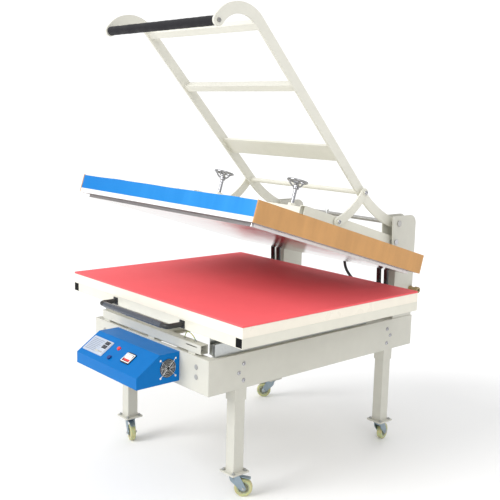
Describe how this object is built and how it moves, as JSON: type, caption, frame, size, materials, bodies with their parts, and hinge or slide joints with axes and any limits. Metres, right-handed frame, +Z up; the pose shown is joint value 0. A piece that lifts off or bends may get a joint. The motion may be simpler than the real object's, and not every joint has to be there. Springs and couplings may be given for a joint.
{
  "type": "heat press",
  "caption": "Large-format swing-lift heat press: tilting heated platen on a handle linkage over a pull-out padded tray, on a castored steel base.",
  "frame": {"origin": "on the floor, under the middle of the whole machine", "axes": "+X to the operator's right, +Y to the rear posts, +Z up"},
  "size_m": [1.23, 1.434, 1.9456],
  "materials": {
    "base_paint": "semi-gloss powder coat, warm light grey",
    "frame_paint": "semi-gloss powder coat, pale grey",
    "tray_paint": "semi-gloss powder coat, cream",
    "shaft_steel": "turned steel",
    "bolt_chrome": "bright plated",
    "handwheel_chrome": "polished chrome",
    "slide_zinc": "zinc plated",
    "gland_brass": "aged brass",
    "blue_paint": "gloss powder coat, blue",
    "side_board": "plain brown fibre board",
    "trim_white": "gloss white",
    "plate_aluminium": "ground and polished",
    "element_steel": "oxidised sheath",
    "blanket": "woven glass fibre",
    "red_silicone": "matt silicone",
    "black_plastic": "moulded",
    "grip_foam": "foam rubber",
    "controller_plastic": "silver-grey panel",
    "key_plastic": "moulded keys",
    "rocker_plastic": "white and red moulding",
    "lamp_red": "translucent red lens",
    "button_blue": "dark blue moulding",
    "guard_chrome": "plated wire",
    "strut_black": "black enamel",
    "rod_chrome": "hard chrome",
    "castor_zinc": "blue zinc plate",
    "castor_tyre": "translucent yellow polyurethane"
  },
  "bodies": {
    "base": {"base_side_plates": "base_paint", "base_end_plates": "base_paint", "legs": "base_paint", "leg_bolts": "bolt_chrome", "posts": "base_paint", "arm_pivot_shaft": "shaft_steel", "beam_pivot_bolts": "bolt_chrome", "cable_gland": "gland_brass", "front_cross_beam": "frame_paint", "slide_outer_members": "slide_zinc", "control_box_shell": "blue_paint", "temperature_controller": "controller_plastic", "switch_bezel": "black_plastic", "power_lamp": "lamp_red", "fan_frame": "black_plastic", "fan_guard": "guard_chrome", "castor_plates": "castor_zinc"},
    "drawer": {"slide_inner_members": "slide_zinc", "tray_frame": "tray_paint", "tray_end_plugs": "black_plastic", "platen_table": "tray_paint", "silicone_pad": "red_silicone", "drawer_handle": "black_plastic"},
    "slide_middles": {"slide_middle_members": "slide_zinc"},
    "lifting_frame": {"beams": "frame_paint", "beam_cross_bars": "frame_paint"},
    "heating_platen": {"heater_cover": "blue_paint", "heater_side_boards": "side_board", "heater_trim": "trim_white", "heating_plate": "plate_aluminium", "heating_rods": "element_steel", "insulation_blanket": "blanket"},
    "handwheel_left": {"handwheel_left": "handwheel_chrome"},
    "handwheel_right": {"handwheel_right": "handwheel_chrome"},
    "handle": {"handle_arms": "frame_paint", "handle_cross_bars": "frame_paint", "handle_grip": "grip_foam", "grip_tube": "shaft_steel", "link_tube": "frame_paint"},
    "links": {"links": "frame_paint"},
    "gas_cylinders": {"gas_spring_cylinders": "strut_black"},
    "gas_rods": {"gas_spring_rods": "rod_chrome"},
    "power_rocker": {"power_rocker": "rocker_plastic"},
    "reset_button": {"reset_button": "button_blue"},
    "set_key": {"set_key": "key_plastic"},
    "down_key": {"down_key": "key_plastic"},
    "up_key": {"up_key": "key_plastic"},
    "fan_rotor": {"fan_rotor": "black_plastic"},
    "castor_swivel_front_left": {"castor_fork_front_left": "castor_zinc"},
    "castor_roll_front_left": {"castor_wheel_front_left": "castor_tyre"},
    "castor_brake_front_left": {"castor_pedal_front_left": "castor_zinc"},
    "castor_swivel_front_right": {"castor_fork_front_right": "castor_zinc"},
    "castor_roll_front_right": {"castor_wheel_front_right": "castor_tyre"},
    "castor_brake_front_right": {"castor_pedal_front_right": "castor_zinc"},
    "castor_swivel_rear_left": {"castor_fork_rear_left": "castor_zinc"},
    "castor_roll_rear_left": {"castor_wheel_rear_left": "castor_tyre"},
    "castor_brake_rear_left": {"castor_pedal_rear_left": "castor_zinc"},
    "castor_swivel_rear_right": {"castor_fork_rear_right": "castor_zinc"},
    "castor_roll_rear_right": {"castor_wheel_rear_right": "castor_tyre"},
    "castor_brake_rear_right": {"castor_pedal_rear_right": "castor_zinc"}
  },
  "joints": [
    {"name": "drawer_slide", "type": "slide", "parent": "base", "child": "drawer", "axis": [0, -1, 0], "range_m": [0, 0.45]},
    {"name": "slide_extension", "type": "slide", "parent": "base", "child": "slide_middles", "axis": [0, -1, 0], "range_m": [0, 0.225]},
    {"name": "platen_tilt", "type": "hinge", "parent": "base", "child": "lifting_frame", "pos_m": [0, 0.5685, 0.97], "axis": [1, 0, 0], "range_deg": [0, 16.7]},
    {"name": "pressure_adjust", "type": "slide", "parent": "lifting_frame", "child": "heating_platen", "axis": [0, -0.2874, -0.9578], "range_m": [0, 0.048]},
    {"name": "handwheel_left_turn", "type": "hinge", "parent": "heating_platen", "child": "handwheel_left", "pos_m": [-0.252, 0.04122, 1.12819], "axis": [0, 0.2874, 0.9578], "range_deg": [0, 2160.01]},
    {"name": "handwheel_right_turn", "type": "hinge", "parent": "heating_platen", "child": "handwheel_right", "pos_m": [0.252, 0.04122, 1.12819], "axis": [0, 0.2874, 0.9578], "range_deg": [0, 2160.01]},
    {"name": "handle_swing", "type": "hinge", "parent": "base", "child": "handle", "pos_m": [0, 0.5865, 1.055], "axis": [1, 0, 0], "range_deg": [0, 20.33]},
    {"name": "link_swing", "type": "hinge", "parent": "handle", "child": "links", "pos_m": [0, 0.35663, 1.20594], "axis": [1, 0, 0], "range_deg": [-11.42, 0]},
    {"name": "cylinder_swing", "type": "hinge", "parent": "base", "child": "gas_cylinders", "pos_m": [0, 0.545, 0.64], "axis": [1, 0, 0], "range_deg": [-2.02, 0]},
    {"name": "rod_stroke", "type": "slide", "parent": "gas_cylinders", "child": "gas_rods", "axis": [0, -0.0368, 0.9993], "range_m": [-0.0088, 0]},
    {"name": "power_rocker_rock", "type": "hinge", "parent": "base", "child": "power_rocker", "pos_m": [0.09, -0.66457, 0.55977], "axis": [1, 0, 0], "range_deg": [-16, 0]},
    {"name": "reset_button_press", "type": "slide", "parent": "base", "child": "reset_button", "axis": [0, 0.5636, -0.8261], "range_m": [0, 0.0022], "stiffness_N_per_m": 400, "springref_m": -0.0005},
    {"name": "set_key_press", "type": "slide", "parent": "base", "child": "set_key", "axis": [0, 0.5636, -0.8261], "range_m": [0, 0.0015], "stiffness_N_per_m": 300, "springref_m": -0.0005},
    {"name": "down_key_press", "type": "slide", "parent": "base", "child": "down_key", "axis": [0, 0.5636, -0.8261], "range_m": [0, 0.0015], "stiffness_N_per_m": 300, "springref_m": -0.0005},
    {"name": "up_key_press", "type": "slide", "parent": "base", "child": "up_key", "axis": [0, 0.5636, -0.8261], "range_m": [0, 0.0015], "stiffness_N_per_m": 300, "springref_m": -0.0005},
    {"name": "fan_spin", "type": "hinge", "parent": "base", "child": "fan_rotor", "pos_m": [0.2125, -0.5715, 0.538], "axis": [1, 0, 0], "continuous": true},
    {"name": "swivel_front_left", "type": "hinge", "parent": "base", "child": "castor_swivel_front_left", "pos_m": [-0.388, -0.3545, 0.09], "axis": [0, 0, 1], "continuous": true},
    {"name": "roll_front_left", "type": "hinge", "parent": "castor_swivel_front_left", "child": "castor_roll_front_left", "pos_m": [-0.35229, -0.3675, 0.0375], "axis": [0.342, 0.9397, 0], "continuous": true},
    {"name": "brake_front_left", "type": "hinge", "parent": "castor_swivel_front_left", "child": "castor_brake_front_left", "pos_m": [-0.38988, -0.35382, 0.0817], "axis": [0.342, 0.9397, 0], "range_deg": [0, 5]},
    {"name": "swivel_front_right", "type": "hinge", "parent": "base", "child": "castor_swivel_front_right", "pos_m": [0.388, -0.3545, 0.09], "axis": [0, 0, 1], "continuous": true},
    {"name": "roll_front_right", "type": "hinge", "parent": "castor_swivel_front_right", "child": "castor_roll_front_right", "pos_m": [0.41392, -0.32671, 0.0375], "axis": [-0.7314, 0.682, 0], "continuous": true},
    {"name": "brake_front_right", "type": "hinge", "parent": "castor_swivel_front_right", "child": "castor_brake_front_right", "pos_m": [0.38664, -0.35596, 0.0817], "axis": [-0.7314, 0.682, 0], "range_deg": [0, 5]},
    {"name": "swivel_rear_left", "type": "hinge", "parent": "base", "child": "castor_swivel_rear_left", "pos_m": [-0.388, 0.5485, 0.09], "axis": [0, 0, 1], "continuous": true},
    {"name": "roll_rear_left", "type": "hinge", "parent": "castor_swivel_rear_left", "child": "castor_roll_rear_left", "pos_m": [-0.41392, 0.52071, 0.0375], "axis": [0.7314, -0.682, 0], "continuous": true},
    {"name": "brake_rear_left", "type": "hinge", "parent": "castor_swivel_rear_left", "child": "castor_brake_rear_left", "pos_m": [-0.38664, 0.54996, 0.0817], "axis": [0.7314, -0.682, 0], "range_deg": [0, 5]},
    {"name": "swivel_rear_right", "type": "hinge", "parent": "base", "child": "castor_swivel_rear_right", "pos_m": [0.388, 0.5485, 0.09], "axis": [0, 0, 1], "continuous": true},
    {"name": "roll_rear_right", "type": "hinge", "parent": "castor_swivel_rear_right", "child": "castor_roll_rear_right", "pos_m": [0.37881, 0.58537, 0.0375], "axis": [-0.9703, -0.2419, 0], "continuous": true},
    {"name": "brake_rear_right", "type": "hinge", "parent": "castor_swivel_rear_right", "child": "castor_brake_rear_right", "pos_m": [0.38848, 0.54656, 0.0817], "axis": [-0.9703, -0.2419, 0], "range_deg": [0, 5]}
  ],
  "couplings": [
    {"joint": "slide_extension", "follows": "drawer_slide", "ratio": 0.5},
    {"joint": "handwheel_left_turn", "follows": "pressure_adjust", "rad_per_m": 785.4},
    {"joint": "handwheel_right_turn", "follows": "pressure_adjust", "rad_per_m": 785.4},
    {"joint": "handle_swing", "follows": "platen_tilt", "ratio": 1.2166},
    {"joint": "link_swing", "follows": "platen_tilt", "ratio": -0.68336},
    {"joint": "cylinder_swing", "follows": "platen_tilt", "ratio": -0.12022},
    {"joint": "rod_stroke", "follows": "platen_tilt", "m_per_rad": -0.030141}
  ]
}
